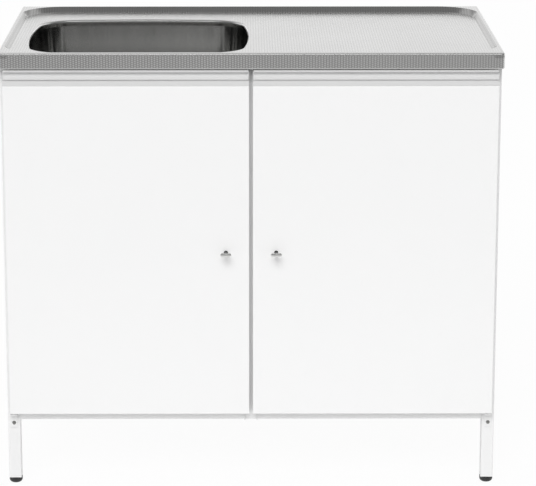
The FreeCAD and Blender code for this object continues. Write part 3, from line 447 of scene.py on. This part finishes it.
clear, clear_shader, clear_at = finish("clear_bumper_rubber", Roughness=0.25)
clear_at.noise(200.0, 2.0).colours((0.62, 0.63, 0.63), (0.72, 0.73, 0.73)).to(
    clear_shader, "Base Color")
clear_at.noise(800.0, 1.0).relief(0.00003, 0.4).to(clear_shader, "Normal")
dress(clear, "left_door_bumpers", "right_door_bumpers")


# Hinges. Folded steel brackets, coated white with the frame, are screwed to the legs above and below
# the doors and carry the pins. The screws are domed, plated, and have a cross recess.
dress(frame_paint, "lower_hinge_brackets", "upper_hinge_brackets")

plated, plated_shader, plated_at = finish("plated_screw", Metallic=1.0)
plated_at.noise(300.0, 2.0).colours((0.30, 0.30, 0.29), (0.42, 0.42, 0.41)).to(
    plated_shader, "Base Color")
(plated_at.noise(500.0, 2.0) * 0.2 + 0.22).to(plated_shader, "Roughness")
plated_at.noise(1200.0, 1.0).relief(0.00002, 0.4).to(plated_shader, "Normal")


def cross_screw(x, foot_y, z):
    """A domed screw that looks towards -y. Rows run from the middle of the head over its dome and rim
    and down the shank; the dome is an arc, and a cross is sunk in it where one of the two distances
    from its arms' middle lines is small. The shank's rows swell and shrink as the thread's crests."""
    head_radius, head_rise = 0.004, 0.0022
    cross_arm, cross_reach, cross_depth = 0.00045, 0.0021, 0.0011
    shank_radius, shank_length, thread_depth, thread_pitch = 0.0021, 0.008, 0.00022, 0.0014
    turn = np.linspace(0.0, 2 * np.pi, 48, endpoint=False)[None, :]
    ring = np.linspace(0.0, 1.0, 26)[:, None]
    r = head_radius * ring
    rise = head_rise * np.sqrt(np.clip(1.0 - (ring * 0.985) ** 3.2, 0.0, 1.0))
    arm = np.minimum(np.abs(r * np.cos(turn)), np.abs(r * np.sin(turn)))
    inside = 1.0 / (1.0 + np.exp((arm - cross_arm) / 0.00006))
    inside = inside / (1.0 + np.exp((r - cross_reach) / 0.00010))
    head_y = foot_y - rise + cross_depth * inside
    rows = [np.stack([x + r * np.cos(turn), head_y + 0 * turn, z + r * np.sin(turn)], axis=-1)]
    down = np.linspace(0.0, 1.0, 34)[:, None]
    thread = shank_radius - thread_depth * np.abs(np.sin(np.pi * down * shank_length / thread_pitch))
    shank_y = foot_y + shank_length * down
    rows.append(np.stack([x + thread * np.cos(turn), shank_y + 0 * turn, z + thread * np.sin(turn)],
                         axis=-1))
    return np.concatenate(rows)


screw_places = [(sx * 0.4845, -0.2685, z) for sx in (-1, 1) for z in (0.13175, 0.880)]
screw_places += [(x, -0.2680, 0.8785) for x in (-0.300, 0.0, 0.300)]
screws = add_piece("cross_recess_screws", "cabinet", plated,
                   [cross_screw(*place) for place in screw_places])
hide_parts("bracket_screws")


# Locks. Each door has a quarter-turn lock: a cast chromed wing knob, whose stem is darkened behind
# the wing as painted shade, in a threaded barrel that a nut holds from inside and whose dark base colour
# is painted shade too. A steel tongue turns behind the strike plate.
chrome, chrome_shader, chrome_at = finish("satin_chromed_casting", Metallic=1.0)
wing_back_y = -0.3036
# Painted shade: the chrome's base colour is darkened on the stem behind the wing.
painted_shade_stem = chrome_at.part("Y").above(wing_back_y)
plating_and_stem_shade = (chrome_at.noise(150.0, 3.0) * 0.08 + 0.80) * (1.0 - painted_shade_stem * 0.86)
plating_and_stem_shade.colours((0.0, 0.0, 0.0), (1.0, 1.0, 0.985)).to(chrome_shader, "Base Color")
(chrome_at.noise(400.0, 3.0) * 0.12 + 0.36).to(chrome_shader, "Roughness")
chrome_at.noise(700.0, 2.0).relief(0.00003, 0.4).to(chrome_shader, "Normal")

# Dark steel for the lock barrels: its dark base colour is painted shade round the knob's root.
barrel_shade_steel, barrel_shade_shader, barrel_shade_at = finish("painted_shade_barrel_steel", Metallic=1.0)
barrel_shade_at.noise(300.0, 3.0).colours((0.10, 0.10, 0.10), (0.16, 0.16, 0.16)).to(
    barrel_shade_shader, "Base Color")
(barrel_shade_at.noise(500.0, 2.0) * 0.14 + 0.24).to(barrel_shade_shader, "Roughness")
barrel_shade_at.noise(900.0, 2.0).relief(0.00002, 0.4).to(barrel_shade_shader, "Normal")
dress(barrel_shade_steel, "left_lock_barrel", "right_lock_barrel")
dress(zinc, "left_lock_nut", "right_lock_nut", "left_lock_tongue", "right_lock_tongue")

wing_reach, lobe_place, lobe_radius, waist = 0.011, 0.0065, 0.0045, 0.0028
wing_thickness, wing_middle_y = 0.005, -0.307
lock_z = 0.495


def wing_knob(axis_x):
    """Two closed surfaces. The wing: its outline is two round lobes joined by a narrow waist, and each
    place lies between a middle line and the outline, drawn out by the sine of an angle that goes from
    the front to the back, while its depth is the cosine's rounded power. The stem: a turned profile."""
    t = np.linspace(0.0, 2 * np.pi, 72, endpoint=False)[None, :]
    out_x = wing_reach * np.cos(t)
    reach = np.abs(out_x)
    lobe = np.sqrt(np.clip(lobe_radius ** 2 - (reach - lobe_place) ** 2, 0.0, None))
    neck = waist + (lobe_radius - waist) * (1 - np.cos(np.pi * np.clip(reach / lobe_place, 0, 1))) / 2
    out_z = np.sign(np.sin(t)) * np.where(reach > lobe_place, lobe, neck)
    mid_x = out_x * lobe_place / wing_reach
    a = np.linspace(0.0, np.pi, 33)[:, None]
    drawn_to = np.sin(a) ** 0.7
    depth = -np.sign(np.cos(a)) * np.abs(np.cos(a)) ** 0.75 * wing_thickness / 2
    wing = np.stack([axis_x + mid_x + (out_x - mid_x) * drawn_to, wing_middle_y + depth + 0 * t,
                     lock_z + out_z * drawn_to], axis=-1)
    profile = np.array([(0.0, -0.3070), (0.0022, -0.3068), (0.0026, -0.3040), (0.0027, -0.3025),
                        (0.0028, -0.3005), (0.0028, -0.2890), (0.0032, -0.2886), (0.0032, -0.2880),
                        (0.0028, -0.2876), (0.0028, -0.2362), (0.0055, -0.2362), (0.0055, -0.2352),
                        (0.0046, -0.2347), (0.0, -0.2347)])
    s = np.linspace(0.0, 2 * np.pi, 40, endpoint=False)[None, :]
    r, y = profile[:, :1], profile[:, 1:]
    stem = np.stack([axis_x + r * np.cos(s), y + 0 * s, lock_z + r * np.sin(s)], axis=-1)
    return [wing, stem]


for side, axis_x in (("left", -0.0505), ("right", 0.0505)):
    knob = add_piece(side + "_wing_knob", side + "_lock", chrome, wing_knob(axis_x))
    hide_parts(side + "_lock_knob")
